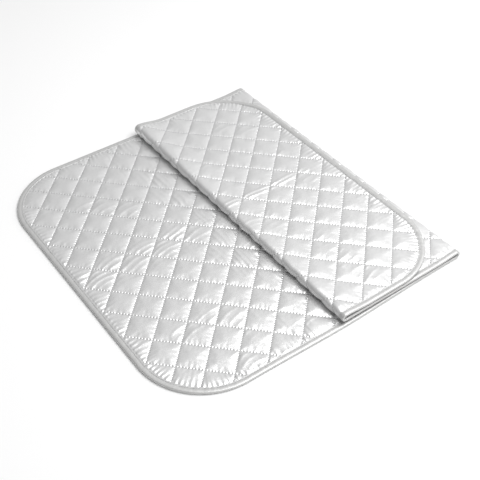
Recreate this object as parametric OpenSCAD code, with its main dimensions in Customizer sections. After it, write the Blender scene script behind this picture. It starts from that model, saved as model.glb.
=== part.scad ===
// Quilted foam pad, folded in three like a letter Z. Millimetres, +Z up, +X towards the fold under
// the stack, origin at the middle of the folded pad on the surface that it rests on.

/* [Pad] */
// Width of the pad, along both fold lines
pad_w = 480; // [360:5:640]
// Length of the bottom panel, from its free end to the right fold
base_l = 430; // [400:1:520]
// Length of the middle panel, between the two folds
middle_l = 192.5; // [170:0.5:240]
// Length of the top panel, from the left fold to its free end
top_l = 186; // [170:0.5:225]
// Thickness of one layer of the pad
layer_t = 4.5; // [4:0.1:8]
// Air between two folded layers
layer_gap = 1.2; // [0.8:0.1:3]
// Radius of the four rounded corners
corner_r = 92; // [40:1:92]

/* [Covers and foam] */
// Thickness of the coated cover fabric
cover_t = 0.4; // [0.2:0.05:0.6]
// How much lower the pad is where the binding presses it
rim_drop = 0.65; // [0.5:0.05:0.9]

/* [Binding] */
// Width of the binding tape on each face
binding_w = 8; // [6:0.5:14]
// Thickness of the binding tape
binding_t = 0.5; // [0.3:0.05:0.6]
// Distance of the binding's seam from the pad's edge
seam_inset = 6.2; // [3:0.1:7]

/* [Quilting] */
// Distance between two quilting lines, measured along the pad's edges
quilt_pitch = 49; // [30:1:80]
// Width of a row of quilting thread
thread_w = 0.8; // [0.5:0.1:1.5]
// Thickness of the thread where it lies on the cover
thread_t = 0.2; // [0.1:0.05:0.3]

/* [Hidden] */

half_w = pad_w / 2;
// How far a cut runs past the face that it opens
cut = 0.1;
layer_pitch = layer_t + layer_gap;
// Height of a fold's axis above the underside of the lower of its two layers
axis_rise = layer_t + layer_gap / 2;
folded_l = base_l + axis_rise;
right_fold_x = folded_l / 2 - axis_rise;
left_fold_x = right_fold_x - middle_l;
base_free_x = right_fold_x - base_l;

// Where one crossing of the quilting lies, from the panel's fold line and from the pad's middle
base_crossing = [base_free_x + 10.7, 41.8 - half_w];
middle_crossing = [left_fold_x + 30, 36 - half_w];
top_crossing = [left_fold_x + 3.6, 29.7 - half_w];

cover_colour = [0.82, 0.82, 0.83];
binding_colour = [0.70, 0.71, 0.71];
thread_colour = [0.62, 0.62, 0.63];
foam_colour = [0.95, 0.95, 0.92];

// Outline of a panel with a free end: the fold line at x = 0, the rounded end at x = length,
// drawn inside the pad's own edge by inset
module end_outline(length, inset) {
    union() {
        translate([0, inset - half_w])
            square([length - corner_r, pad_w - 2 * inset]);
        translate([length - corner_r, corner_r - half_w])
            square([corner_r - inset, pad_w - 2 * corner_r]);
        for (side = [-1, 1])
            translate([length - corner_r, side * (half_w - corner_r)])
                circle(r = corner_r - inset, $fn = 96);
    }
}

module base_outline(inset) {
    translate([right_fold_x, 0])
        mirror([1, 0])
            end_outline(base_l, inset);
}

module middle_outline(inset) {
    translate([left_fold_x, inset - half_w])
        square([middle_l, pad_w - 2 * inset]);
}

module top_outline(inset) {
    translate([left_fold_x, 0])
        end_outline(top_l, inset);
}

// A layer of one panel between two heights over that panel's underside
module panel_slab(panel, inset, low, high) {
    if (panel == "base")
        translate([0, 0, low])
            linear_extrude(high - low)
                base_outline(inset);
    if (panel == "middle")
        translate([0, 0, layer_pitch + low])
            linear_extrude(high - low)
                middle_outline(inset);
    if (panel == "top")
        translate([0, 0, 2 * layer_pitch + low])
            linear_extrude(high - low)
                top_outline(inset);
}

// The same layer where it turns round a fold, as a half ring about the fold's axis
module fold_slab(side, inset, low, high) {
    outer_r = axis_rise - low;
    inner_r = axis_rise - high;
    rotate([90, 0, 0])
        linear_extrude(pad_w - 2 * inset, center = true)
            intersection() {
                difference() {
                    circle(r = outer_r, $fn = 48);
                    circle(r = inner_r, $fn = 48);
                }
                translate([side > 0 ? 0 : -layer_pitch - 1, -layer_pitch - 1])
                    square([layer_pitch + 1, 2 * layer_pitch + 2]);
            }
}

module slab(part, inset, low, high) {
    if (part == "right_fold")
        translate([right_fold_x, 0, axis_rise])
            fold_slab(1, inset, low, high);
    else if (part == "left_fold")
        translate([left_fold_x, 0, layer_pitch + axis_rise])
            fold_slab(-1, inset, low, high);
    else
        panel_slab(part, inset, low, high);
}

// A slab measured down from the upper side when flip is true
module leaf(part, flip, inset, low, high) {
    if (flip)
        slab(part, inset, layer_t - high, layer_t - low);
    else
        slab(part, inset, low, high);
}

// One sheet of cover fabric, pressed towards the middle of the layer under the binding
module cover_sheet(part, flip) {
    color(cover_colour)
        difference() {
            union() {
                leaf(part, flip, binding_t, rim_drop, rim_drop + cover_t);
                leaf(part, flip, binding_w, thread_t, rim_drop + cover_t);
            }
            leaf(part, flip, binding_w + cover_t, thread_t + cover_t, rim_drop + cover_t + cut);
        }
}

module foam_sheet(part) {
    color(foam_colour)
        union() {
            slab(part, binding_t, rim_drop + cover_t, layer_t - rim_drop - cover_t);
            slab(part, binding_w + cover_t, thread_t + cover_t, layer_t - thread_t - cover_t);
        }
}

// The tape folded round the pad's edge, with a leaf on each face
module binding_tape(part) {
    leaf_low = rim_drop - binding_t;
    difference() {
        slab(part, 0, leaf_low, layer_t - leaf_low);
        slab(part, binding_t, rim_drop, layer_t - rim_drop);
        slab(part, binding_w, -cut, layer_t + cut);
    }
}

// The row of stitches that holds the tape, on both faces
module seam_rows(part) {
    color(thread_colour)
        for (flip = [false, true])
            difference() {
                leaf(part, flip, seam_inset, 0, rim_drop - binding_t);
                leaf(part, flip, seam_inset + thread_w, -cut, rim_drop - binding_t + cut);
            }
}

module half_pad(side) {
    intersection() {
        children();
        translate([-pad_w, side > 0 ? 0 : -pad_w, -pad_w])
            cube([2 * pad_w, pad_w, 2 * pad_w]);
    }
}

module binding_half(part, side) {
    color(binding_colour)
        half_pad(side)
            binding_tape(part);
}

// Rows of quilting thread at 45 degrees both ways, through one known crossing
module quilt_lines(crossing) {
    rows = ceil((pad_w + folded_l) / quilt_pitch);
    for (turn = [-45, 45], k = [-rows : rows])
        translate([crossing[0] + k * quilt_pitch, crossing[1]])
            rotate(turn)
                square([3 * pad_w, thread_w], center = true);
}

module quilting(part, flip, crossing, lift) {
    low = flip ? lift + layer_t - thread_t : lift;
    color(thread_colour)
        translate([0, 0, low])
            linear_extrude(thread_t)
                intersection() {
                    quilt_lines(crossing);
                    if (part == "base") base_outline(binding_w + cover_t);
                    if (part == "middle") middle_outline(binding_w + cover_t);
                    if (part == "top") top_outline(binding_w + cover_t);
                }
}

module base_lower_cover() { cover_sheet("base", false); }
module base_foam_core() { foam_sheet("base"); }
module base_upper_cover() { cover_sheet("base", true); }
module base_edge_binding() { color(binding_colour) binding_tape("base"); }
module base_binding_seam() { seam_rows("base"); }
module base_lower_quilting() { quilting("base", false, base_crossing, 0); }
module base_upper_quilting() { quilting("base", true, base_crossing, 0); }

module right_fold_outer_cover() { cover_sheet("right_fold", false); }
module right_fold_foam() { foam_sheet("right_fold"); }
module right_fold_inner_cover() { cover_sheet("right_fold", true); }
module right_fold_front_binding() { binding_half("right_fold", -1); }
module right_fold_back_binding() { binding_half("right_fold", 1); }
module right_fold_binding_seam() { seam_rows("right_fold"); }

module middle_lower_cover() { cover_sheet("middle", false); }
module middle_foam_core() { foam_sheet("middle"); }
module middle_upper_cover() { cover_sheet("middle", true); }
module middle_front_binding() { binding_half("middle", -1); }
module middle_back_binding() { binding_half("middle", 1); }
module middle_binding_seam() { seam_rows("middle"); }
module middle_lower_quilting() { quilting("middle", false, middle_crossing, layer_pitch); }
module middle_upper_quilting() { quilting("middle", true, middle_crossing, layer_pitch); }

module left_fold_outer_cover() { cover_sheet("left_fold", false); }
module left_fold_foam() { foam_sheet("left_fold"); }
module left_fold_inner_cover() { cover_sheet("left_fold", true); }
module left_fold_front_binding() { binding_half("left_fold", -1); }
module left_fold_back_binding() { binding_half("left_fold", 1); }
module left_fold_binding_seam() { seam_rows("left_fold"); }

module top_lower_cover() { cover_sheet("top", false); }
module top_foam_core() { foam_sheet("top"); }
module top_upper_cover() { cover_sheet("top", true); }
module top_edge_binding() { color(binding_colour) binding_tape("top"); }
module top_binding_seam() { seam_rows("top"); }
module top_lower_quilting() { quilting("top", false, top_crossing, 2 * layer_pitch); }
module top_upper_quilting() { quilting("top", true, top_crossing, 2 * layer_pitch); }

base_lower_cover();
base_foam_core();
base_upper_cover();
base_edge_binding();
base_binding_seam();
base_lower_quilting();
base_upper_quilting();
right_fold_outer_cover();
right_fold_foam();
right_fold_inner_cover();
right_fold_front_binding();
right_fold_back_binding();
right_fold_binding_seam();
middle_lower_cover();
middle_foam_core();
middle_upper_cover();
middle_front_binding();
middle_back_binding();
middle_binding_seam();
middle_lower_quilting();
middle_upper_quilting();
left_fold_outer_cover();
left_fold_foam();
left_fold_inner_cover();
left_fold_front_binding();
left_fold_back_binding();
left_fold_binding_seam();
top_lower_cover();
top_foam_core();
top_upper_cover();
top_edge_binding();
top_binding_seam();
top_lower_quilting();
top_upper_quilting();
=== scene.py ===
import math

import bpy
import numpy as np
from bpy.props import FloatProperty, FloatVectorProperty, IntProperty, PointerProperty
from mathutils import Matrix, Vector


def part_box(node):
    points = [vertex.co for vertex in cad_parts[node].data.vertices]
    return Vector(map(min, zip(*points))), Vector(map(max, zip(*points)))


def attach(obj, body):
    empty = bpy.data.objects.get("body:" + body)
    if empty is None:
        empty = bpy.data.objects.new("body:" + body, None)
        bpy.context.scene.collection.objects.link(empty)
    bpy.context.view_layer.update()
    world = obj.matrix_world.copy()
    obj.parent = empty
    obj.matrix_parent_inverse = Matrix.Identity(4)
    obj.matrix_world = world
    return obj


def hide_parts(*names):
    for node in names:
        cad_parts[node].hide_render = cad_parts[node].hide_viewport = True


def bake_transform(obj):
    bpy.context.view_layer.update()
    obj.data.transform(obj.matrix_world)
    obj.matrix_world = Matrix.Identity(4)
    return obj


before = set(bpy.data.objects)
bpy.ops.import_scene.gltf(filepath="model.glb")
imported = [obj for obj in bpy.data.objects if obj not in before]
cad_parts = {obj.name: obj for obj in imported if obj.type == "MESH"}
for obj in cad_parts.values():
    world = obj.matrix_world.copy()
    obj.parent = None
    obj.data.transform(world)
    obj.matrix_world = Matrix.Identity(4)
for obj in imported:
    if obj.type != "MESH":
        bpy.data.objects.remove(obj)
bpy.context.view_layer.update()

bl_info = {
    "name": "Folded Quilted Pad",
    "version": (1, 0, 0),
    "blender": (4, 5, 0),
    "location": "View3D > Sidebar > Quilted Pad",
    "description": "Makes a quilted foam pad with taped edges, folded in three",
    "category": "Add Mesh",
}

MM = 0.001


# ---------------------------------------------------------------- places, from the frame

def node_box(node):
    low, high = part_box(node)
    return np.array(low), np.array(high)


BASE_LOW, BASE_HIGH = node_box("base_edge_binding")
MIDDLE_LOW, MIDDLE_HIGH = node_box("middle_foam_core")
TOP_LOW, TOP_HIGH = node_box("top_edge_binding")
FREE_X = BASE_LOW[0]                # free end of the base panel
RIGHT_X = MIDDLE_HIGH[0]            # where the right fold starts to turn
LEFT_X = MIDDLE_LOW[0]              # where the left fold starts to turn
PAD_WIDTH = BASE_HIGH[1] - BASE_LOW[1]
HALF_WIDTH = PAD_WIDTH / 2
BASE_Z = (BASE_LOW[2] + BASE_HIGH[2]) / 2
MIDDLE_Z = (MIDDLE_LOW[2] + MIDDLE_HIGH[2]) / 2
TOP_Z = (TOP_LOW[2] + TOP_HIGH[2]) / 2
BASE_LENGTH = RIGHT_X - FREE_X
MIDDLE_LENGTH = RIGHT_X - LEFT_X
TOP_LENGTH = TOP_HIGH[0] - LEFT_X
CORNER_RADIUS = 92 * MM

# How far each fold stands open beyond the layers' own spacing, and how far from it they close
RIGHT_OPEN, RIGHT_REACH = 2.2 * MM, 34 * MM
LEFT_OPEN, LEFT_REACH = 3.0 * MM, 40 * MM
BACK_OPEN = 2.6 * MM                # more at the left fold's back end
RIGHT_LOOP = (MIDDLE_Z - BASE_Z + RIGHT_OPEN) / 2
LEFT_LOOP = (TOP_Z - MIDDLE_Z + LEFT_OPEN) / 2

# Where each stretch of the pad ends, measured along the pad from the base panel's free end
RIGHT_START = BASE_LENGTH
MIDDLE_START = RIGHT_START + math.pi * RIGHT_LOOP
LEFT_START = MIDDLE_START + MIDDLE_LENGTH
TOP_START = LEFT_START + math.pi * LEFT_LOOP
PAD_LENGTH = TOP_START + TOP_LENGTH
FOLD_REACH = 4 * MM                 # how far a fold's pieces run on into the flat panels
COVER_INSET = 2.5 * MM              # how far under the tape the cover's cut edge lies
FOAM_INSET = 3.5 * MM               # the same for the foam
FRONT_BOW, BOW_LENGTH = 3.0 * MM, 90 * MM   # how far the front edge bows out, and over what length
SECTIONS = {
    "base": (0, RIGHT_START - FOLD_REACH),
    "right_fold": (RIGHT_START - FOLD_REACH, MIDDLE_START + FOLD_REACH),
    "middle": (MIDDLE_START + FOLD_REACH, LEFT_START - FOLD_REACH),
    "left_fold": (LEFT_START - FOLD_REACH, TOP_START + FOLD_REACH),
    "top": (TOP_START + FOLD_REACH, PAD_LENGTH),
}
FOLDS = ("right_fold", "left_fold")
BODY = {"base": "base_panel", "middle": "middle_panel", "top": "top_panel"}
# The face that is up on the base panel is +1, the other is -1
FACES = {1: "face", -1: "back"}
# What the CAD nodes call these two faces of each stretch
FACE_WORDS = {
    "base": ("upper", "lower"),
    "right_fold": ("inner", "outer"),
    "middle": ("lower", "upper"),
    "left_fold": ("outer", "inner"),
    "top": ("upper", "lower"),
}


def face_node(section, face, layer):
    """The CAD node of a stretch's cover or quilting on this face."""
    word = FACE_WORDS[section][0 if face > 0 else 1]
    return f"{section}_{word}_{layer}"


# ---------------------------------------------------------------- the quilting pattern

STEPS = 34                          # cloth grid steps in one quilting pitch
BASE_CROSSING = (10.7 * MM, 41.8 * MM)      # one crossing of the rows, along and across the base
TOP_CROSSING = (3.6 * MM, 29.7 * MM)        # one on the top panel, from the left fold
VALLEY = 0.75 * MM                  # height of the sewn rows over the pad's middle
FLOOR_HEIGHT = BASE_Z - 0.05 * MM   # how far the underside may stand below the base's middle
MAX_HEIGHT = 3.7 * MM               # highest the cover may stand over the pad's middle
MAX_BETWEEN = 2.7 * MM              # and where another layer lies on it
COVERED_FROM = LEFT_X - FREE_X - 14 * MM
TAPE_HEIGHT = 1.15 * MM             # height of the cover where the tape presses it
BACK_SHARE, BACK_LIFT = 0.85, 0.1 * MM      # the back face's height against the upper one's
MAX_SLIP = 0.9 * MM                 # how far the simulation may move a point along the cover
NOISE_CELLS = 64                    # size of soft_noise's table of random numbers
CELL_TABLE = 61                     # size of the tables that give each cell its own numbers
EDGE_STEP = 1.5 * MM                # length of the tape's steps along the edge
FOAM_STEP = 3                       # cloth grid steps in one step of the foam's grid
FOAM_UNDER = 0.2 * MM               # how far the foam stays under the covers
FOLD_FOAM_SHARE = 0.4               # the foam's height in a fold against the panels'
STORE = {}                          # the shaped cloth, kept between operators


def settings():
    return bpy.context.scene.quilted_pad


def smoothstep(t):
    t = np.clip(t, 0, 1)
    return t * t * (3 - 2 * t)


def pattern_drift():
    """How far the quilting has moved along and across by the top panel, against a straight pattern."""
    pitch = settings().quilt_pitch
    along = TOP_START + TOP_CROSSING[0]
    whole = round((along - BASE_CROSSING[0]) / pitch)
    return BASE_CROSSING[0] + whole * pitch - along, BASE_CROSSING[1] - TOP_CROSSING[1]


def to_pad(pattern_u, pattern_v):
    """Place on the pad of a place in the quilting pattern, where the rows are straight."""
    drift_u, drift_v = pattern_drift()
    share = smoothstep((pattern_u - MIDDLE_START) / MIDDLE_LENGTH)
    return pattern_u - share * drift_u, pattern_v - share * drift_v


def edge_gap(u, v):
    """Distance inwards from the pad's bound edge, with its rounded corners."""
    half_length = PAD_LENGTH / 2
    across = np.abs(v - HALF_WIDTH) - (HALF_WIDTH - CORNER_RADIUS)
    along = np.abs(u - half_length) - (half_length - CORNER_RADIUS)
    outside = np.hypot(np.maximum(across, 0), np.maximum(along, 0))
    inside = np.minimum(np.maximum(across, along), 0)
    return CORNER_RADIUS - outside - inside


# ---------------------------------------------------------------- the folded pad's middle surface

def open_left(v):
    return LEFT_OPEN + BACK_OPEN * smoothstep((v / PAD_WIDTH - 0.55) / 0.45)


def middle_height(x, v):
    near_right = smoothstep(1 - (RIGHT_X - x) / RIGHT_REACH)
    return MIDDLE_Z + RIGHT_OPEN * near_right


def top_height(x, v):
    near_right = smoothstep(1 - (RIGHT_X - x) / RIGHT_REACH)
    near_left = smoothstep(1 - (x - LEFT_X) / LEFT_REACH)
    return TOP_Z + RIGHT_OPEN * near_right + open_left(v) * near_left


def middle_surface(u, v):
    """x and z of the pad's middle surface at u along the pad and v across it."""
    x = FREE_X + u
    z = np.full_like(x, BASE_Z)
    for way, fold_x, start, end, height_after in (
        (1, RIGHT_X, RIGHT_START, MIDDLE_START, middle_height),
        (-1, LEFT_X, LEFT_START, TOP_START, top_height),
    ):
        turn = (u - start) / (end - start)
        angle = math.pi * np.clip(turn, 0, 1)
        low = BASE_Z if way > 0 else middle_height(fold_x, v)
        loop = (height_after(fold_x, v) - low) / 2
        bent, past = (turn > 0) & (turn < 1), turn >= 1
        x_after = fold_x - way * (u - end)
        x = np.where(bent, fold_x + way * loop * np.sin(angle), np.where(past, x_after, x))
        z_bent = low + loop * (1 - np.cos(angle))
        z = np.where(bent, z_bent, np.where(past, height_after(x_after, v), z))
    return x, z


def front_bow(u, v):
    """The soft outward bow of the base panel's front edge, as a move along Y."""
    from_fold = FREE_X + u - LEFT_X
    bow = -FRONT_BOW * np.exp(-((from_fold / BOW_LENGTH) ** 2)) * (1 - v / PAD_WIDTH)
    return np.where(u < RIGHT_START, bow, 0)


def pad_point(u, v, height):
    """Point at height over the middle surface, on the side that is up on the base panel."""
    u, v, height = np.broadcast_arrays(u, v, height)
    step = 0.05 * MM
    x0, z0 = middle_surface(u - step, v)
    x1, z1 = middle_surface(u + step, v)
    x, z = middle_surface(u, v)
    tangent_x, tangent_z = x1 - x0, z1 - z0
    length = np.hypot(tangent_x, tangent_z)
    normal_x, normal_z = -tangent_z / length, tangent_x / length
    y = v - HALF_WIDTH + front_bow(u, v)
    return np.stack([x + normal_x * height, y, z + normal_z * height], -1)


# ---------------------------------------------------------------- the quilted cloth

def row_distance(value, spacing):
    rest = np.mod(value, spacing)
    return np.minimum(rest, spacing - rest)


def soft_noise(rng, u, v, size):
    """Smooth random field between -1 and 1, with features of this size."""
    table = rng.uniform(-1, 1, (NOISE_CELLS, NOISE_CELLS))
    a, b = u / size, v / size
    i, j = np.floor(a).astype(int), np.floor(b).astype(int)
    share_a, share_b = smoothstep(a - i), smoothstep(b - j)
    i0, i1 = i % NOISE_CELLS, (i + 1) % NOISE_CELLS
    j0, j1 = j % NOISE_CELLS, (j + 1) % NOISE_CELLS
    near = table[i0, j0] * (1 - share_a) + table[i1, j0] * share_a
    far = table[i0, j1] * (1 - share_a) + table[i1, j1] * share_a
    return near * (1 - share_b) + far * share_b


def ridges(phase, sharp):
    """Rounded ridges between flat floors, one for each whole step of phase."""
    return (0.5 + 0.5 * np.cos(2 * math.pi * phase)) ** sharp


def row_puckers(rng, along, across, spacing):
    """Small gathers square to the sewn rows, each cell side with its own spacing."""
    table = rng.random((CELL_TABLE, CELL_TABLE))
    row = np.round(across / spacing).astype(int) % CELL_TABLE
    cell = np.floor(along / spacing).astype(int) % CELL_TABLE
    own = table[cell, row]
    wave = (5.0 + 4 * own) * MM
    fade = np.exp(-row_distance(across, spacing) / (3.2 * MM))
    strength = 0.25 + 1.3 * table[row, cell] ** 2
    return fade * strength * ridges(along / wave + own, 1.5)


def grid_squares(keep):
    """Squares of a grid whose four corners are all kept, as corner numbers into the whole grid."""
    number = np.arange(keep.size).reshape(keep.shape)
    whole = keep[:-1, :-1] & keep[1:, :-1] & keep[1:, 1:] & keep[:-1, 1:]
    corners = (number[:-1, :-1], number[1:, :-1], number[1:, 1:], number[:-1, 1:])
    return np.stack([corner[whole] for corner in corners], 1)


def renumbered(faces):
    """The point numbers that four-sided faces use, and the faces counted among only those."""
    needed, faces = np.unique(faces, return_inverse=True)
    return needed, faces.reshape(-1, 4)


def edge_run(u, v):
    """Distance travelled along the pad's bound edge by the nearest edge point, side by side."""
    half_length = PAD_LENGTH / 2
    along = np.abs(u - half_length) - (half_length - CORNER_RADIUS)
    across = np.abs(v - HALF_WIDTH) - (HALF_WIDTH - CORNER_RADIUS)
    corner = CORNER_RADIUS * np.arctan2(np.maximum(across, 0), np.maximum(along, 1e-6))
    straight = np.where(along > across, v, u)
    return np.where((along > 0) & (across > 0), corner, straight)


class QuiltedCloth:
    """The cover's cloth on a flat grid in the quilting pattern: its places and its height."""

    def __init__(self):
        pad = settings()
        self.step = pad.quilt_pitch / STEPS
        margin = 2
        first_u = -int(BASE_CROSSING[0] / self.step) - margin
        last_u = int((PAD_LENGTH + pattern_drift()[0] - BASE_CROSSING[0]) / self.step) + margin
        first_v = -int(BASE_CROSSING[1] / self.step) - margin
        last_v = int((PAD_WIDTH + pad.quilt_pitch - BASE_CROSSING[1]) / self.step) + margin
        self.i, self.j = np.meshgrid(
            np.arange(first_u, last_u + 1), np.arange(first_v, last_v + 1), indexing="ij"
        )
        self.pattern_u = BASE_CROSSING[0] + self.i * self.step
        self.pattern_v = BASE_CROSSING[1] + self.j * self.step
        self.u, self.v = to_pad(self.pattern_u, self.pattern_v)
        self.gap = edge_gap(self.u, self.v)
        self.used = self.gap > COVER_INSET
        self.sewn = ((self.i + self.j) % STEPS == 0) | ((self.i - self.j) % STEPS == 0)
        self.taped = self.gap < pad.tape_width + 0.3 * MM
        self.height = self.first_height()
        self.move_u = np.zeros_like(self.height)
        self.move_v = np.zeros_like(self.height)

    def first_height(self):
        """The cloth before it is simulated: low pillows, gathers at the rows and crease lines."""
        pad = settings()
        rng = np.random.default_rng(7)
        cell = pad.quilt_pitch / math.sqrt(2)
        from_u = self.pattern_u - BASE_CROSSING[0]
        from_v = self.pattern_v - BASE_CROSSING[1]
        rise, fall = (from_u + from_v) / math.sqrt(2), (from_u - from_v) / math.sqrt(2)
        near = np.minimum(row_distance(rise, cell), row_distance(fall, cell))
        from_tape = np.clip(self.gap - pad.tape_width, 0, None)
        puff = pad.puff_height * (1 - np.exp(-near / (5 * MM)))
        puff *= 0.85 + 0.15 * soft_noise(rng, rise, fall, 30 * MM)
        puff *= np.minimum(1, 0.3 + from_tape / (10 * MM))
        gathers = row_puckers(rng, fall, rise, cell) + row_puckers(rng, rise, fall, cell)
        height = np.where(self.sewn, 0, puff + 0.34 * MM * gathers)
        self.wrinkles = self.edge_gathers(rng, from_tape)
        loose = self.long_wrinkles(rng, rise / cell, fall / cell) + self.cross_creases(rng)
        loose += 0.22 * MM * soft_noise(rng, self.u, self.v, 11 * MM)
        loose += 0.10 * MM * soft_noise(rng, self.u, self.v, 4.5 * MM)
        self.wrinkles += smoothstep(near / (3.5 * MM)) * loose
        self.wrinkles[self.taped | self.sewn] = 0
        return np.where(self.taped, TAPE_HEIGHT - VALLEY, height)

    def edge_gathers(self, rng, from_tape):
        """Short folds square to the tape, where its seam draws the cover in."""
        run = edge_run(self.u, self.v) + 2 * MM * soft_noise(rng, self.u, self.v, 12 * MM)
        reach = (8 + 4 * soft_noise(rng, self.u, self.v, 20 * MM)) * MM
        strength = 0.7 + 0.55 * soft_noise(rng, self.u, self.v, 17 * MM)
        return 2.1 * MM * strength * np.exp(-from_tape / reach) * ridges(run / (6.8 * MM), 2.4)

    def long_wrinkles(self, rng, rise, fall):
        """Bowed wrinkles that run along the pad, a band of them on the base and two on the top."""
        table = rng.random((CELL_TABLE, CELL_TABLE, 3))
        at = [np.floor(place).astype(int) % CELL_TABLE for place in (rise, fall)]
        cell = table[at[0], at[1]]
        middle = (rise % 1 + fall % 1 - 1) * settings().quilt_pitch / 2
        bow = 2.2 * MM * (middle / (17 * MM)) ** 2
        bow += 7 * MM * soft_noise(rng, self.u, self.v, 38 * MM) - 0.16 * (self.u - 120 * MM)
        across = self.v - 0.51 * PAD_WIDTH
        band = np.exp(-((across / (19 * MM)) ** 2)) * smoothstep((230 * MM - self.u) / (60 * MM))
        waves = ridges((across + bow) / (8.5 * MM) + 0.25 * cell[..., 0], 2.4)
        wrinkles = 1.15 * MM * band * (0.3 + cell[..., 1]) * waves
        on_top = smoothstep((self.u - TOP_START + 5 * MM) / (8 * MM))
        on_top = on_top * smoothstep((TOP_START + 150 * MM - self.u) / (50 * MM))
        for place, strength in ((0.509, 1.5), (0.523, 1.3)):
            away = self.v - place * PAD_WIDTH + 1.2 * MM * np.sin(self.u / (16 * MM))
            wrinkles += strength * MM * on_top * np.exp(-((away / (2.0 * MM)) ** 2))
        elsewhere = soft_noise(rng, self.u, self.v, 34 * MM)
        few = smoothstep((elsewhere - 0.45) * 4)
        wrinkles += 0.55 * MM * few * ridges((self.v + bow) / (11 * MM) + cell[..., 2], 3)
        return wrinkles

    def cross_creases(self, rng):
        """Thin creases across the pad, where it has been bent before it reaches the folds."""
        total = np.zeros_like(self.u)
        for place, width in ((RIGHT_START - 222 * MM, 34 * MM), (LEFT_START - 9 * MM, 16 * MM)):
            band = np.exp(-(((self.u - place) / width) ** 2))
            drift = 9 * MM * soft_noise(rng, self.u, self.v, 45 * MM)
            patch = smoothstep(0.5 + 1.2 * soft_noise(rng, self.u, self.v, 24 * MM))
            total += 0.85 * MM * band * patch * ridges((self.u + drift) / (8.5 * MM), 2.6)
        return total

    def simulate(self):
        """Blows the flat cloth up against its sewn rows with Blender's cloth simulation."""
        pad = settings()
        needed, squares = renumbered(grid_squares(self.used))
        places = np.stack([self.pattern_u, self.pattern_v, self.height], -1).reshape(-1, 3)
        flat = bpy.data.meshes.new("quilting_cloth")
        flat.from_pydata(places[needed].tolist(), [], squares.tolist())
        cloth = bpy.data.objects.new("quilting_cloth", flat)
        bpy.context.scene.collection.objects.link(cloth)
        held = (self.sewn | self.taped).ravel()[needed]
        group = cloth.vertex_groups.new(name="sewn")
        group.add(np.flatnonzero(held).tolist(), 1.0, "REPLACE")
        modifier = cloth.modifiers.new("Cloth", "CLOTH")
        fabric = modifier.settings
        fabric.quality = 3
        fabric.mass = 0.15
        fabric.tension_stiffness = 20
        fabric.compression_stiffness = 4
        fabric.shear_stiffness = 6
        fabric.bending_stiffness = 1.0
        fabric.tension_damping = fabric.compression_damping = fabric.shear_damping = 5
        fabric.air_damping = 2
        fabric.shrink_min = -pad.cloth_slack
        fabric.vertex_group_mass = "sewn"
        fabric.use_pressure = True
        fabric.uniform_pressure_force = pad.pressure
        fabric.effector_weights.gravity = 0
        modifier.collision_settings.use_collision = False
        modifier.point_cache.frame_end = pad.cloth_frames
        scene = bpy.context.scene
        for number in range(1, pad.cloth_frames + 1):
            scene.frame_set(number)
        shaped = cloth.evaluated_get(bpy.context.evaluated_depsgraph_get()).data
        moved = np.empty(len(shaped.vertices) * 3)
        shaped.vertices.foreach_get("co", moved)
        change = moved.reshape(-1, 3) - places[needed]
        for field, axis in ((self.move_u, 0), (self.move_v, 1), (self.height, 2)):
            field.flat[needed] += change[:, axis]
        bpy.data.objects.remove(cloth)
        bpy.data.meshes.remove(flat)
        scene.frame_set(1)

    def settle(self):
        """Adds the wrinkles and keeps the cloth within its room and its moves within reason."""
        covered = smoothstep((self.u - COVERED_FROM) / (10 * MM))
        covered *= 1 - smoothstep((self.u - LEFT_START) / (4 * MM))
        most = MAX_HEIGHT - (MAX_HEIGHT - MAX_BETWEEN) * covered - VALLEY
        height = np.clip(self.height, 0, None) + self.wrinkles
        soft = most * np.tanh(np.clip(height, 0, None) / most)
        self.height = np.where(height > 0, soft, 0.3 * height)
        self.move_u = np.clip(self.move_u, -MAX_SLIP, MAX_SLIP)
        self.move_v = np.clip(self.move_v, -MAX_SLIP, MAX_SLIP)


def quilted_cloth():
    """The one shaped cloth that every cover, foam piece and sewn row is made from."""
    if "cloth" not in STORE:
        cloth = QuiltedCloth()
        cloth.simulate()
        cloth.settle()
        STORE["cloth"] = cloth
    return STORE["cloth"]


# ---------------------------------------------------------------- making pieces

def mesh_piece(name, points, faces, material, uv=None):
    """A piece with its place in its mesh, smooth shaded, with an optional pattern UV map."""
    mesh = bpy.data.meshes.new(name)
    mesh.vertices.add(len(points))
    mesh.vertices.foreach_set("co", np.asarray(points, np.float32).ravel())
    faces = np.asarray(faces, np.int32)
    sides = faces.shape[1]
    mesh.loops.add(faces.size)
    mesh.loops.foreach_set("vertex_index", faces.ravel())
    mesh.polygons.add(len(faces))
    mesh.polygons.foreach_set("loop_start", np.arange(len(faces), dtype=np.int32) * sides)
    mesh.update(calc_edges=True)
    mesh.validate()
    mesh.shade_smooth()
    if uv is not None:
        layer = mesh.uv_layers.new(name="pattern")
        layer.data.foreach_set("uv", np.asarray(uv, np.float32)[faces.ravel()].ravel())
    piece = bpy.data.objects.new(name, mesh)
    bpy.context.scene.collection.objects.link(piece)
    mesh.materials.append(material)
    return piece


def join_body(piece, section):
    """Rides on the section's panel; a fold's piece only has its place baked into its mesh."""
    if section not in FOLDS:
        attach(piece, BODY[section])
        return
    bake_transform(piece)


def foam_node(section):
    return section + ("_foam" if section in FOLDS else "_foam_core")


def face_height(cloth, face):
    height = VALLEY + cloth.height
    if face < 0:
        height = np.minimum(BACK_SHARE * height + BACK_LIFT, FLOOR_HEIGHT)
    return height


def cover_points(cloth, face):
    return pad_point(
        cloth.u + cloth.move_u, cloth.v + cloth.move_v, face * face_height(cloth, face)
    )


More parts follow.
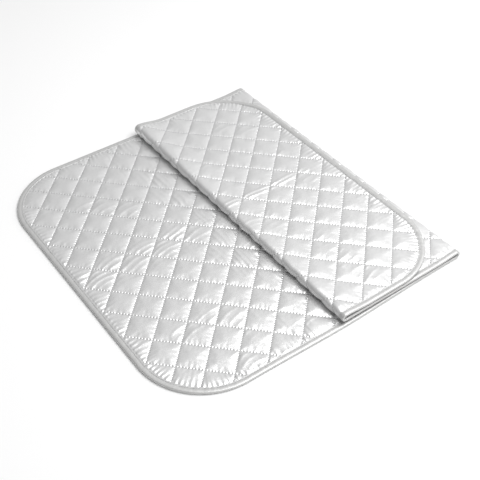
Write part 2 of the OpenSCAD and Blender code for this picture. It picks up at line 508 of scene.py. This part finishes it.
def section_columns(cloth, section):
    """Rows of the grid along the pad that belong to a section, each end shared with the next."""
    along = cloth.pattern_u[:, 0]
    drift = pattern_drift()[0]
    rows = []
    for place in SECTIONS[section]:
        shift = drift * smoothstep((place - MIDDLE_START) / MIDDLE_LENGTH)
        rows.append(int(np.argmin(np.abs(along - (place + shift)))))
    first = 0 if section == "base" else rows[0]
    last = len(along) - 1 if section == "top" else rows[1]
    return first, last


class PAD_OT_covers(bpy.types.Operator):
    """Makes both covers: quilted cloth, cut at the folds into panel sheets and fold sheets"""

    bl_idname = "quilted_pad.covers"
    bl_label = "Quilted Covers"

    def execute(self, context):
        cloth = quilted_cloth()
        material = silver_cover()
        rise = (cloth.i + cloth.j) / STEPS
        fall = (cloth.i - cloth.j) / STEPS
        pattern = np.stack([rise.ravel(), fall.ravel()], 1)
        for face in FACES:
            points = cover_points(cloth, face).reshape(-1, 3)
            for section in SECTIONS:
                first, last = section_columns(cloth, section)
                keep = np.zeros_like(cloth.used)
                keep[first:last + 1] = cloth.used[first:last + 1]
                needed, squares = renumbered(grid_squares(keep))
                if face < 0:
                    squares = squares[:, ::-1]
                node = face_node(section, face, "cover")
                sheet = mesh_piece(
                    node + "_sheet", points[needed], squares, material, pattern[needed]
                )
                join_body(sheet, section)
                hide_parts(node)
                self.declare(sheet, section)
        return {"FINISHED"}

    def declare(self, sheet, section):
        """Works out the cut size of this stretch of cover, and its area without the cut corners, and
        keeps neither.
        """
        start, end = SECTIONS[section]
        length = end - start
        width = PAD_WIDTH - 2 * COVER_INSET
        area = width * length
        if section in ("base", "top"):
            area -= width * COVER_INSET + (2 - math.pi / 2) * CORNER_RADIUS ** 2


def lowest_near(height, reach):
    """The lowest height within reach grid steps, so that the foam stays under the cover."""
    for axis in (0, 1):
        for _ in range(reach):
            below = np.minimum(np.roll(height, 1, axis), np.roll(height, -1, axis))
            height = np.minimum(height, below)
    return height


class PAD_OT_foam(bpy.types.Operator):
    """Makes the foam sheet between the covers, one closed padded piece to each stretch"""

    bl_idname = "quilted_pad.foam"
    bl_label = "Foam Sheet"

    def execute(self, context):
        cloth = quilted_cloth()
        material = soft_foam()
        for section in SECTIONS:
            points, faces = self.closed_sheet(cloth, section)
            needed, faces = renumbered(faces)
            node = foam_node(section)
            foam = mesh_piece(node + "_sheet", points[needed], faces, material)
            join_body(foam, section)
            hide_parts(node)
        return {"FINISHED"}

    def closed_sheet(self, cloth, section):
        """Points and faces of the foam: both faces on a coarser grid, and the wall between them."""
        first, last = section_columns(cloth, section)
        rows = sorted(set(range(first, last + 1, FOAM_STEP)) | {last})
        columns = list(range(0, cloth.i.shape[1], FOAM_STEP))
        grid = np.ix_(rows, columns)
        share = FOLD_FOAM_SHARE if section in FOLDS else 1.0
        layers = []
        for face in FACES:
            low = lowest_near(face_height(cloth, face), FOAM_STEP) - FOAM_UNDER
            height = face * share * low[grid]
            layers.append(pad_point(cloth.u[grid], cloth.v[grid], height).reshape(-1, 3))
        upper = grid_squares(cloth.used[grid] & (cloth.gap[grid] > FOAM_INSET))
        edges = np.concatenate([upper[:, [a, (a + 1) % 4]] for a in range(4)]).tolist()
        known = {tuple(edge) for edge in edges}
        rim = np.array([edge for edge in edges if (edge[1], edge[0]) not in known])
        below = len(layers[0])
        wall = np.stack([rim[:, 1], rim[:, 0], rim[:, 0] + below, rim[:, 1] + below], 1)
        return np.concatenate(layers), np.concatenate([upper, upper[:, ::-1] + below, wall])


# ---------------------------------------------------------------- tape round the edge

def outline_run(start, end, side):
    """Edge places and inward directions along one straight side, from start to end along the pad."""
    count = max(3, int(abs(end - start) / EDGE_STEP))
    along = np.linspace(start, end, count)
    across = np.full(count, 0.0 if side < 0 else PAD_WIDTH)
    inward = np.tile([0.0, -float(side)], (count, 1))
    return along, across, inward


def free_end_run(start, end_at):
    """The edge from a fold round a panel's free end and back: side, corner, end, corner, side."""
    away = math.copysign(1, end_at - start)
    corner_at = end_at - away * CORNER_RADIUS
    straight = abs(corner_at - start)
    quarter = math.pi / 2 * CORNER_RADIUS
    end_length = PAD_WIDTH - 2 * CORNER_RADIUS
    total = 2 * straight + 2 * quarter + end_length
    s = np.linspace(0, total, int(total / EDGE_STEP))
    u, v = np.empty_like(s), np.empty_like(s)
    inward = np.empty((len(s), 2))
    stops = np.cumsum([straight, quarter, end_length, quarter, straight])
    part = np.searchsorted(stops, s, side="left").clip(0, 4)
    local = s - np.concatenate([[0], stops])[part]
    first, last = part == 0, part == 4
    u[first], v[first] = start + away * local[first], 0
    inward[first] = (0, 1)
    angle = local[part == 1] / CORNER_RADIUS
    u[part == 1] = corner_at + away * CORNER_RADIUS * np.sin(angle)
    v[part == 1] = CORNER_RADIUS * (1 - np.cos(angle))
    inward[part == 1] = np.stack([-away * np.sin(angle), np.cos(angle)], 1)
    u[part == 2], v[part == 2] = end_at, CORNER_RADIUS + local[part == 2]
    inward[part == 2] = (-away, 0)
    angle = local[part == 3] / CORNER_RADIUS
    u[part == 3] = corner_at + away * CORNER_RADIUS * np.cos(angle)
    v[part == 3] = PAD_WIDTH - CORNER_RADIUS * (1 - np.sin(angle))
    inward[part == 3] = np.stack([-away * np.cos(angle), -np.sin(angle)], 1)
    u[last], v[last] = corner_at - away * local[last], PAD_WIDTH
    inward[last] = (0, -1)
    return u, v, inward


def tape_runs():
    """Every tape piece: name, CAD node, section, and its run along the edge."""
    runs = [
        ("base_edge_binding", "base", free_end_run(SECTIONS["base"][1], 0.0)),
        ("top_edge_binding", "top", free_end_run(SECTIONS["top"][0], PAD_LENGTH)),
    ]
    for side, word in ((-1, "front"), (1, "back")):
        runs.append((f"middle_{word}_binding", "middle", outline_run(*SECTIONS["middle"], side)))
        for fold in FOLDS:
            runs.append((f"{fold}_{word}_binding", fold, outline_run(*SECTIONS[fold], side)))
    return runs


def tape_profile():
    """Half of the tape's section: distance inwards and height, from the edge to its inner hem."""
    pad = settings()
    width, rise = pad.tape_width, pad.tape_height
    seam = width - pad.seam_from_hem
    points = [(-0.15 * MM, 0.0), (0.0, 0.45 * rise), (0.5 * MM, 0.8 * rise), (1.3 * MM, 0.97 * rise)]
    points += [(0.5 * seam, 1.04 * rise), (0.82 * seam, rise), (seam, 0.8 * rise)]
    points += [(seam + 0.5 * (width - seam), 0.95 * rise), (width - 0.15 * MM, 0.97 * rise)]
    points += [(width + 0.05 * MM, 0.80 * rise), (width + 0.02 * MM, 0.62 * rise)]
    return points


def edge_noise(u, v, salt, wave):
    """Smooth noise along the edge that is the same wherever two pieces meet."""
    parts = 5
    total = 0
    for part in range(1, parts + 1):
        size = wave * (0.6 + 0.35 * part)
        total = total + np.sin(u / size * 2 * math.pi + salt * part * 1.7 + 2.3 * v / size)
    return total / parts


def run_length(u, v):
    """Distance travelled along a run at each of its places."""
    return np.cumsum(np.hypot(np.diff(u, prepend=u[0]), np.diff(v, prepend=v[0])))


class PAD_OT_binding(bpy.types.Operator):
    """Makes the tape that is folded round the pad's edge, with the gathers that its seam pulls"""

    bl_idname = "quilted_pad.binding"
    bl_label = "Edge Tape"

    def execute(self, context):
        pad = settings()
        material = binding_tape()
        half = tape_profile()
        profile = [(d, h) for d, h in reversed(half)] + [(d, -h) for d, h in half[1:]]
        for name, section, (u, v, inward) in tape_runs():
            points = np.stack([self.ring(u, v, inward, *at) for at in profile], 1)
            around = len(profile)
            faces = grid_squares(np.ones(points.shape[:2], bool))[:, [0, 3, 2, 1]]
            turn = inward[0, 1] * (u[1] - u[0]) - inward[0, 0] * (v[1] - v[0])
            if turn < 0:
                faces = faces[:, ::-1]
            length = run_length(u, v)
            grid_s, grid_t = np.meshgrid(length, np.arange(around), indexing="ij")
            uv = np.stack([grid_s.ravel() / pad.tape_width, grid_t.ravel() / around], 1)
            tape = mesh_piece(name + "_tape", points.reshape(-1, 3), faces, material, uv)
            join_body(tape, section)
            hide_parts(name)
        return {"FINISHED"}

    def ring(self, u, v, inward, inwards, height):
        """One line of the tape along the edge, with the gathers that are strongest near the seam."""
        face = 1 if height >= 0 else -1
        gather = edge_noise(u, v, 3.1 * face, 7 * MM) + edge_noise(u, v, 1.3 * face, 3.6 * MM)
        share = math.exp(-abs(inwards - 0.75 * settings().tape_width) / (3 * MM))
        bulge = height * (1 + 0.13 * gather * share)
        limit = FLOOR_HEIGHT if face < 0 else MAX_BETWEEN
        at_u = u + inward[:, 0] * inwards
        at_v = v + inward[:, 1] * inwards
        return pad_point(at_u, at_v, np.clip(bulge, -limit, limit))


# ---------------------------------------------------------------- thread

def stitch_shape():
    """Points and triangles of one low stitch, 1 long: three five-sided rings and two end points."""
    sides, rings = 5, 3
    points, triangles = [], []
    for ring in range(rings):
        along = -0.5 + ring / (rings - 1)
        fat = 1.0 if ring == 1 else 0.55
        lift = 0.5 if ring == 1 else 0.0
        for side in range(sides):
            angle = 2 * math.pi * side / sides
            across, up = 0.5 * fat * math.cos(angle), 0.5 * fat * math.sin(angle)
            points.append((0.86 * along, across, up + lift))
    for ring in range(rings - 1):
        for side in range(sides):
            a, b = ring * sides + side, ring * sides + (side + 1) % sides
            triangles += [(a, b, b + sides), (a, b + sides, a + sides)]
    for ring, end in ((0, -0.5), (rings - 1, 0.5)):
        tip = len(points)
        points.append((end, 0, -0.4))
        for side in range(sides):
            a, b = ring * sides + side, ring * sides + (side + 1) % sides
            triangles.append((a, tip, b) if ring else (b, tip, a))
    return np.array(points), np.array(triangles)


def lay_stitches(name, starts, ends, normals, material):
    """Copies one stitch between each pair of needle holes, as one mesh."""
    thick = settings().thread_thickness
    shape, triangles = stitch_shape()
    along = ends - starts
    middle = (starts + ends) / 2
    side = np.cross(normals, along)
    side /= np.linalg.norm(side, axis=1, keepdims=True) + 1e-12
    points = (
        middle[:, None]
        + along[:, None] * shape[None, :, :1]
        + side[:, None] * shape[None, :, 1:2] * thick
        + normals[:, None] * shape[None, :, 2:] * thick * 0.8
    ).reshape(-1, 3)
    offsets = np.arange(len(starts)) * len(shape)
    faces = (triangles[None] + offsets[:, None, None]).reshape(-1, 3)
    return mesh_piece(name, points, faces, material)


def row_stitches():
    """Needle holes of every stitch of the quilting, in pattern places."""
    pad = settings()
    cloth = quilted_cloth()
    pitch = pad.quilt_pitch
    stitch = pitch / 2 / pad.stitches_per_side      # along and across the pad, between two holes
    first_u, last_u = cloth.pattern_u.min(), cloth.pattern_u.max()
    first_v, last_v = cloth.pattern_v.min(), cloth.pattern_v.max()
    low = int((first_u - last_v - BASE_CROSSING[0] + BASE_CROSSING[1]) / pitch) - 1
    high = int((last_u - first_v - BASE_CROSSING[0] + BASE_CROSSING[1]) / pitch) + 1
    count = np.round((np.arange(first_u, last_u, stitch) - BASE_CROSSING[0]) / stitch)
    u0 = BASE_CROSSING[0] + count * stitch
    holes = []
    for slope in (1, -1):
        near, far = (low, high) if slope > 0 else (-1, int((last_u + last_v) / pitch) + 1)
        for row in range(near, far + 1):
            v0 = BASE_CROSSING[1] + slope * (u0 - BASE_CROSSING[0] - row * pitch)
            holes.append(np.stack([u0, v0, u0 + stitch, v0 + slope * stitch], 1))
    holes = np.concatenate(holes)
    middle_u, middle_v = to_pad((holes[:, 0] + holes[:, 2]) / 2, (holes[:, 1] + holes[:, 3]) / 2)
    inside = edge_gap(middle_u, middle_v) > pad.tape_width + 1.0 * MM
    return holes[inside], middle_u[inside]


class PAD_OT_quilting(bpy.types.Operator):
    """Sews the quilting thread along every row, on both faces"""

    bl_idname = "quilted_pad.quilting"
    bl_label = "Quilting Thread"

    def execute(self, context):
        material = sewing_thread()
        holes, place = row_stitches()
        start_u, start_v = to_pad(holes[:, 0], holes[:, 1])
        end_u, end_v = to_pad(holes[:, 2], holes[:, 3])
        middle_u, middle_v = (start_u + end_u) / 2, (start_v + end_v) / 2
        for face in FACES:
            lift = VALLEY if face > 0 else BACK_SHARE * VALLEY + BACK_LIFT
            starts = pad_point(start_u, start_v, face * lift)
            ends = pad_point(end_u, end_v, face * lift)
            middle = pad_point(middle_u, middle_v, face * lift)
            above = pad_point(middle_u, middle_v, face * (lift + MM))
            normals = (above - middle) / MM
            for section, (first, last) in SECTIONS.items():
                here = (place >= first) & (place < last)
                name = f"{section}_{FACES[face]}_quilting_thread"
                thread = lay_stitches(name, starts[here], ends[here], normals[here], material)
                join_body(thread, section)
                if section not in FOLDS:
                    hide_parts(face_node(section, face, "quilting"))
        return {"FINISHED"}


class PAD_OT_binding_seams(bpy.types.Operator):
    """Sews the row of stitches that holds the tape, on both faces"""

    bl_idname = "quilted_pad.binding_seams"
    bl_label = "Tape Seam Thread"

    def execute(self, context):
        pad = settings()
        material = sewing_thread()
        seam = pad.tape_width - pad.seam_from_hem
        lift = 0.84 * pad.tape_height
        rows = {section: [] for section in SECTIONS}
        for _, section, (u, v, inward) in tape_runs():
            length = run_length(u, v)
            count = max(2, int(length[-1] / pad.seam_stitch))
            at = np.linspace(0, length[-1], count + 1)
            hole_u = np.interp(at, length, u + inward[:, 0] * seam)
            hole_v = np.interp(at, length, v + inward[:, 1] * seam)
            rows[section].append((hole_u, hole_v))
        for section, parts in rows.items():
            starts, ends, normals = [], [], []
            for hole_u, hole_v in parts:
                for face in FACES:
                    holes = pad_point(hole_u, hole_v, face * lift)
                    above = pad_point(hole_u, hole_v, face * (lift + MM))
                    starts.append(holes[:-1])
                    ends.append(holes[1:])
                    normals.append(((above - holes) / MM)[:-1])
            thread = lay_stitches(
                section + "_binding_seam_thread", np.concatenate(starts), np.concatenate(ends),
                np.concatenate(normals), material,
            )
            join_body(thread, section)
            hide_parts(section + "_binding_seam")
        return {"FINISHED"}


# ---------------------------------------------------------------- materials

MIX_FIRST, MIX_SECOND, MIX_RESULT = 6, 7, 2     # a Mix node's colour sockets, by number
WEAVE_SHARE = 0.06                  # height of the weave against that of the crinkles
BUMP_DEPTH = 0.4 * MM
HOLE_DEPTH = 0.45 * MM
# Painted shade: the dark colour that the cover is mixed towards at the needle holes, for the shade in
# their dimples
HOLE_SHADE_COLOUR = (0.16, 0.16, 0.16, 1.0)


def new_material(name):
    """A node material with one Principled shader, kept between operators."""
    known = bpy.data.materials.get(name)
    if known:
        return known, None
    material = bpy.data.materials.new(name)
    material.use_nodes = True
    return material, material.node_tree


def effect_group(name, inputs, outputs):
    """An empty node group with named number sockets, and its two end nodes."""
    group = bpy.data.node_groups.new(name, "ShaderNodeTree")
    for socket, default in inputs:
        made = group.interface.new_socket(socket, in_out="INPUT", socket_type="NodeSocketFloat")
        made.default_value = default
    for socket in outputs:
        group.interface.new_socket(socket, in_out="OUTPUT", socket_type="NodeSocketFloat")
    return group, group.nodes.new("NodeGroupInput"), group.nodes.new("NodeGroupOutput")


def math_node(tree, operation, *values):
    node = tree.nodes.new("ShaderNodeMath")
    node.operation = operation
    for socket, value in zip(node.inputs, values):
        if isinstance(value, (int, float)):
            socket.default_value = value
        else:
            tree.links.new(value, socket)
    return node.outputs[0]


def weave_group():
    """Height and shade of a fine plain weave with small random crinkles, on object places."""
    known = bpy.data.node_groups.get("fine_weave")
    if known:
        return known
    group, enter, leave = effect_group(
        "fine_weave",
        inputs=(("Threads per metre", 2200.0), ("Crinkle size", 160.0)),
        outputs=("Height", "Shade", "Crinkle"),
    )
    place = group.nodes.new("ShaderNodeTexCoord")
    split = group.nodes.new("ShaderNodeSeparateXYZ")
    group.links.new(place.outputs["Object"], split.inputs[0])
    waves = []
    for axis in ("X", "Y"):
        turned = math_node(group, "MULTIPLY", split.outputs[axis], enter.outputs["Threads per metre"])
        waves.append(math_node(group, "SINE", math_node(group, "MULTIPLY", turned, 2 * math.pi)))
    weave = math_node(group, "MULTIPLY", waves[0], waves[1])
    noise = group.nodes.new("ShaderNodeTexNoise")
    noise.inputs["Detail"].default_value = 4
    noise.inputs["Roughness"].default_value = 0.55
    group.links.new(place.outputs["Object"], noise.inputs["Vector"])
    group.links.new(enter.outputs["Crinkle size"], noise.inputs["Scale"])
    crinkle = noise.outputs["Fac"]
    height = math_node(group, "MULTIPLY_ADD", weave, WEAVE_SHARE, crinkle)
    group.links.new(height, leave.inputs["Height"])
    group.links.new(crinkle, leave.inputs["Crinkle"])
    broad = group.nodes.new("ShaderNodeTexNoise")
    broad.inputs["Scale"].default_value = 14
    broad.inputs["Detail"].default_value = 2
    group.links.new(place.outputs["Object"], broad.inputs["Vector"])
    group.links.new(broad.outputs["Fac"], leave.inputs["Shade"])
    return group


def needle_group():
    """Needle holes along the sewn rows, on the pattern UV map, whose unit is one cell."""
    known = bpy.data.node_groups.get("needle_holes")
    if known:
        return known
    group, enter, leave = effect_group(
        "needle_holes",
        inputs=(("Holes per cell", 9.0), ("Row width", 0.02)),
        outputs=("Holes",),
    )
    uv = group.nodes.new("ShaderNodeUVMap")
    uv.uv_map = "pattern"
    split = group.nodes.new("ShaderNodeSeparateXYZ")
    group.links.new(uv.outputs[0], split.inputs[0])
    masks = []
    for across, along in (("X", "Y"), ("Y", "X")):
        away = math_node(group, "PINGPONG", split.outputs[across], 0.5)
        ratio = math_node(group, "DIVIDE", away, enter.outputs["Row width"])
        fall = math_node(group, "MULTIPLY", math_node(group, "MULTIPLY", ratio, ratio), -1)
        row = math_node(group, "EXPONENT", fall)
        turns = math_node(group, "MULTIPLY", split.outputs[along], enter.outputs["Holes per cell"])
        spot = math_node(group, "COSINE", math_node(group, "MULTIPLY", turns, 2 * math.pi))
        dot = math_node(group, "MULTIPLY_ADD", spot, 0.5, 0.5)
        masks.append(math_node(group, "MULTIPLY", row, dot))
    group.links.new(math_node(group, "MAXIMUM", *masks), leave.inputs["Holes"])
    return group


def place_group(tree, group, values):
    node = tree.nodes.new("ShaderNodeGroup")
    node.node_tree = group
    for socket, value in values:
        node.inputs[socket].default_value = value
    return node


def mix_colour(tree, share, first, second):
    node = tree.nodes.new("ShaderNodeMix")
    node.data_type = "RGBA"
    tree.links.new(share, node.inputs["Factor"])
    for number, value in ((MIX_FIRST, first), (MIX_SECOND, second)):
        if isinstance(value, tuple):
            node.inputs[number].default_value = value
        else:
            tree.links.new(value, node.inputs[number])
    return node.outputs[MIX_RESULT]


def shaded(colour, share):
    return tuple(share * part for part in colour[:3]) + (1.0,)


def fabric_finish(tree, colour, roughness, metal, bump, crinkle, threads, dark):
    """Weave, crinkles and slow shade changes on the material's own Principled shader."""
    shader = tree.nodes["Principled BSDF"]
    sizes = (("Threads per metre", threads), ("Crinkle size", crinkle))
    weave = place_group(tree, weave_group(), sizes)
    tone = mix_colour(tree, weave.outputs["Shade"], shaded(colour, dark), shaded(colour, 1.04))
    tree.links.new(tone, shader.inputs["Base Color"])
    rough = math_node(tree, "MULTIPLY_ADD", weave.outputs["Crinkle"], 0.16, roughness - 0.08)
    tree.links.new(rough, shader.inputs["Roughness"])
    shader.inputs["Metallic"].default_value = metal
    bumps = tree.nodes.new("ShaderNodeBump")
    bumps.inputs["Strength"].default_value = bump
    bumps.inputs["Distance"].default_value = BUMP_DEPTH
    tree.links.new(weave.outputs["Height"], bumps.inputs["Height"])
    tree.links.new(bumps.outputs[0], shader.inputs["Normal"])
    return shader, tone, bumps


def silver_cover():
    material, tree = new_material("silver_coated_cover")
    if tree:
        pad = settings()
        shader, tone, bumps = fabric_finish(
            tree, pad.cover_colour, roughness=0.32, metal=0.62,
            bump=0.3, crinkle=210.0, threads=1900.0, dark=0.95,
        )
        holes = (("Holes per cell", float(pad.stitches_per_side)), ("Row width", 0.035))
        needle = place_group(tree, needle_group(), holes)
        # Painted shade: the cover's colour is darkened at the needle holes along the sewn rows,
        # standing in for the shade that falls in their dimples; the dimples themselves are a bump
        # below
        hole_shade_mask = math_node(tree, "POWER", needle.outputs["Holes"], 4.0)
        dark = math_node(tree, "MULTIPLY", hole_shade_mask, 0.5)
        hole_shaded_tone = mix_colour(tree, dark, tone, HOLE_SHADE_COLOUR)
        tree.links.new(hole_shaded_tone, shader.inputs["Base Color"])
        dimples = tree.nodes.new("ShaderNodeBump")
        dimples.invert = True
        dimples.inputs["Strength"].default_value = 1.0
        dimples.inputs["Distance"].default_value = HOLE_DEPTH
        tree.links.new(needle.outputs["Holes"], dimples.inputs["Height"])
        tree.links.new(bumps.outputs[0], dimples.inputs["Normal"])
        tree.links.new(dimples.outputs[0], shader.inputs["Normal"])
    return material


def plain_finish(name, colour, **finish):
    material, tree = new_material(name)
    if tree:
        fabric_finish(tree, colour, **finish)
    return material


def binding_tape():
    return plain_finish(
        "silver_binding_tape", settings().tape_colour,
        roughness=0.40, metal=0.45, bump=0.5, crinkle=260.0, threads=1500.0, dark=0.9,
    )


def sewing_thread():
    return plain_finish(
        "grey_sewing_thread", settings().thread_colour,
        roughness=0.5, metal=0.0, bump=0.4, crinkle=900.0, threads=4000.0, dark=0.85,
    )


def soft_foam():
    return plain_finish(
        "white_soft_foam", settings().foam_colour,
        roughness=0.85, metal=0.0, bump=0.8, crinkle=1200.0, threads=900.0, dark=0.9,
    )


# ---------------------------------------------------------------- camera, light and floor

CAMERA_AZIMUTH, CAMERA_ELEVATION = math.radians(-36.24), math.radians(43.13)
CAMERA_PLACE = (-0.4803, -0.7061, 0.7699)
LENS, SENSOR = 63.05, 36            # millimetres
BRIGHT_SIDE = (0.80, -0.56, 0.20)   # the side of the room that is the brighter one
# From how far to the dark side to how far to the bright side the room's light changes, and its levels
ROOM_LIGHT = {"From Min": -0.6, "From Max": 0.6, "To Min": 0.36, "To Max": 1.16}
KEY_PLACE, KEY_SIZE = (0.65, -0.35, 1.5), 1.1
FLOOR_SIZE = 12


def placed(x, y, z, place):
    """Matrix with these three axes as columns, at place."""
    matrix = np.eye(4)
    matrix[:3, 0], matrix[:3, 1], matrix[:3, 2], matrix[:3, 3] = x, y, z, place
    return Matrix(matrix.tolist())


class PAD_OT_stage(bpy.types.Operator):
    """Sets the camera, the soft studio light and the pale floor"""

    bl_idname = "quilted_pad.stage"
    bl_label = "Camera and Stage"

    def execute(self, context):
        self.camera()
        self.room_light()
        self.key_light()
        self.floor()
        return {"FINISHED"}

    def camera(self):
        turn, rise = CAMERA_AZIMUTH, CAMERA_ELEVATION
        level = math.cos(rise)
        back = np.array([math.sin(turn) * level, -math.cos(turn) * level, math.sin(rise)])
        right = np.array([math.cos(turn), math.sin(turn), 0])
        up = np.cross(back, right)
        lens = bpy.data.cameras.new("camera")
        lens.lens = LENS
        lens.sensor_width = SENSOR
        camera = bpy.data.objects.new("camera", lens)
        bpy.context.scene.collection.objects.link(camera)
        camera.matrix_world = placed(right, up, back, CAMERA_PLACE)
        bpy.context.scene.camera = camera

    def key_light(self):
        """One square area light that is turned to the pad's middle."""
        light = bpy.data.lights.new("key_light", "AREA")
        light.shape = "RECTANGLE"
        light.size = light.size_y = KEY_SIZE
        light.energy = settings().key_power
        lamp = bpy.data.objects.new("key_light", light)
        bpy.context.scene.collection.objects.link(lamp)
        z = np.array(KEY_PLACE) / np.linalg.norm(KEY_PLACE)
        x = np.cross([0, 0, 1.0], z)
        x /= np.linalg.norm(x)
        lamp.matrix_world = placed(x, np.cross(z, x), z, KEY_PLACE)

    def room_light(self):
        """Even light from all around, brighter on one side."""
        world = bpy.data.worlds.new("studio")
        world.use_nodes = True
        tree = world.node_tree
        background = tree.nodes["Background"]
        background.inputs["Color"].default_value = (1, 1, 1, 1)
        place = tree.nodes.new("ShaderNodeTexCoord")
        towards = tree.nodes.new("ShaderNodeVectorMath")
        towards.operation = "DOT_PRODUCT"
        towards.inputs[1].default_value = BRIGHT_SIDE
        tree.links.new(place.outputs["Generated"], towards.inputs[0])
        level = tree.nodes.new("ShaderNodeMapRange")
        for socket, value in ROOM_LIGHT.items():
            level.inputs[socket].default_value = value
        tree.links.new(towards.outputs["Value"], level.inputs["Value"])
        strength = math_node(tree, "MULTIPLY", level.outputs["Result"], settings().sky_strength)
        tree.links.new(strength, background.inputs["Strength"])
        bpy.context.scene.world = world
        bpy.context.scene.view_settings.view_transform = "Standard"

    def floor(self):
        bpy.ops.object.select_all(action="DESELECT")
        bpy.ops.mesh.primitive_plane_add(size=FLOOR_SIZE, location=(0, 0, 0))
        floor = bpy.context.active_object
        floor.name = "studio_floor"
        material, tree = new_material("pale_floor")
        if tree:
            shader = tree.nodes["Principled BSDF"]
            shader.inputs["Base Color"].default_value = (0.93, 0.93, 0.93, 1)
            shader.inputs["Roughness"].default_value = 0.9
        floor.data.materials.append(material)


# ---------------------------------------------------------------- settings and panel

def length_setting(name, description, default, low, high):
    """A length setting, given in millimetres."""
    return FloatProperty(
        name=name, description=description,
        default=default * MM, min=low * MM, max=high * MM, unit="LENGTH",
    )


def colour_setting(name, description, *default):
    return FloatVectorProperty(
        name=name, description=description, default=default, subtype="COLOR", min=0, max=1,
    )


class QuiltedPadSettings(bpy.types.PropertyGroup):
    quilt_pitch: length_setting(
        "Quilt Pitch", "Distance between two quilting rows along the pad's edge", 49, 20, 120
    )
    puff_height: length_setting(
        "Puff Height", "How far the foam lifts the cover between the rows", 1.8, 0, 6
    )
    cloth_slack: FloatProperty(
        name="Cloth Slack", description="Spare cloth between the rows, as a share",
        default=0.003, min=0, max=0.1,
    )
    pressure: FloatProperty(
        name="Pressure", description="Pressure of the foam on the cover in the simulation",
        default=14.0, min=0, max=100,
    )
    cloth_frames: IntProperty(
        name="Cloth Frames", description="Length of the cloth simulation", default=10, min=4, max=60,
    )
    stitches_per_side: IntProperty(
        name="Stitches per Cell", description="Stitches along one side of a cell",
        default=9, min=4, max=20,
    )
    thread_thickness: length_setting(
        "Thread Thickness", "Thickness of the sewing thread", 0.5, 0.1, 2
    )
    tape_width: length_setting("Tape Width", "Width of the edge tape on each face", 8, 4, 20)
    tape_height: length_setting(
        "Tape Height", "Height of the tape over the pad's middle", 1.75, 0.5, 4
    )
    seam_from_hem: length_setting(
        "Seam from Hem", "Distance of the tape's seam from its inner hem", 1.8, 0.5, 4
    )
    seam_stitch: length_setting("Seam Stitch", "Length of one stitch of the tape's seam", 3.6, 1, 8)
    cover_colour: colour_setting("Cover Colour", "Colour of the coated cover", 0.79, 0.79, 0.79)
    tape_colour: colour_setting("Tape Colour", "Colour of the edge tape", 0.60, 0.60, 0.595)
    thread_colour: colour_setting("Thread Colour", "Colour of the sewing thread", 0.50, 0.50, 0.51)
    foam_colour: colour_setting("Foam Colour", "Colour of the foam", 0.90, 0.90, 0.86)
    key_power: FloatProperty(
        name="Key Light", description="Power of the key light", default=20.0, min=0, unit="POWER",
    )
    sky_strength: FloatProperty(
        name="Room Light", description="Strength of the even light from all around",
        default=0.75, min=0, max=4,
    )


STEPS_IN_ORDER = (
    PAD_OT_stage,
    PAD_OT_covers,
    PAD_OT_foam,
    PAD_OT_binding,
    PAD_OT_quilting,
    PAD_OT_binding_seams,
)


class PAD_PT_panel(bpy.types.Panel):
    """Lists the pad's sizes, colours and making steps"""

    bl_idname = "PAD_PT_panel"
    bl_label = "Quilted Pad"
    bl_space_type = "VIEW_3D"
    bl_region_type = "UI"
    bl_category = "Quilted Pad"

    def draw(self, context):
        pad = context.scene.quilted_pad
        for name in QuiltedPadSettings.__annotations__:
            self.layout.prop(pad, name)
        for step in STEPS_IN_ORDER:
            self.layout.operator(step.bl_idname)


CLASSES = (QuiltedPadSettings, *STEPS_IN_ORDER, PAD_PT_panel)


def register():
    for made in CLASSES:
        bpy.utils.register_class(made)
    bpy.types.Scene.quilted_pad = PointerProperty(type=QuiltedPadSettings)


def unregister():
    del bpy.types.Scene.quilted_pad
    for made in reversed(CLASSES):
        bpy.utils.unregister_class(made)


def main():
    register()
    bpy.ops.object.select_all(action="DESELECT")
    bpy.ops.quilted_pad.stage()
    bpy.ops.quilted_pad.covers()
    bpy.ops.quilted_pad.foam()
    bpy.ops.quilted_pad.binding()
    bpy.ops.quilted_pad.quilting()
    bpy.ops.quilted_pad.binding_seams()


if __name__ == "__main__":
    main()
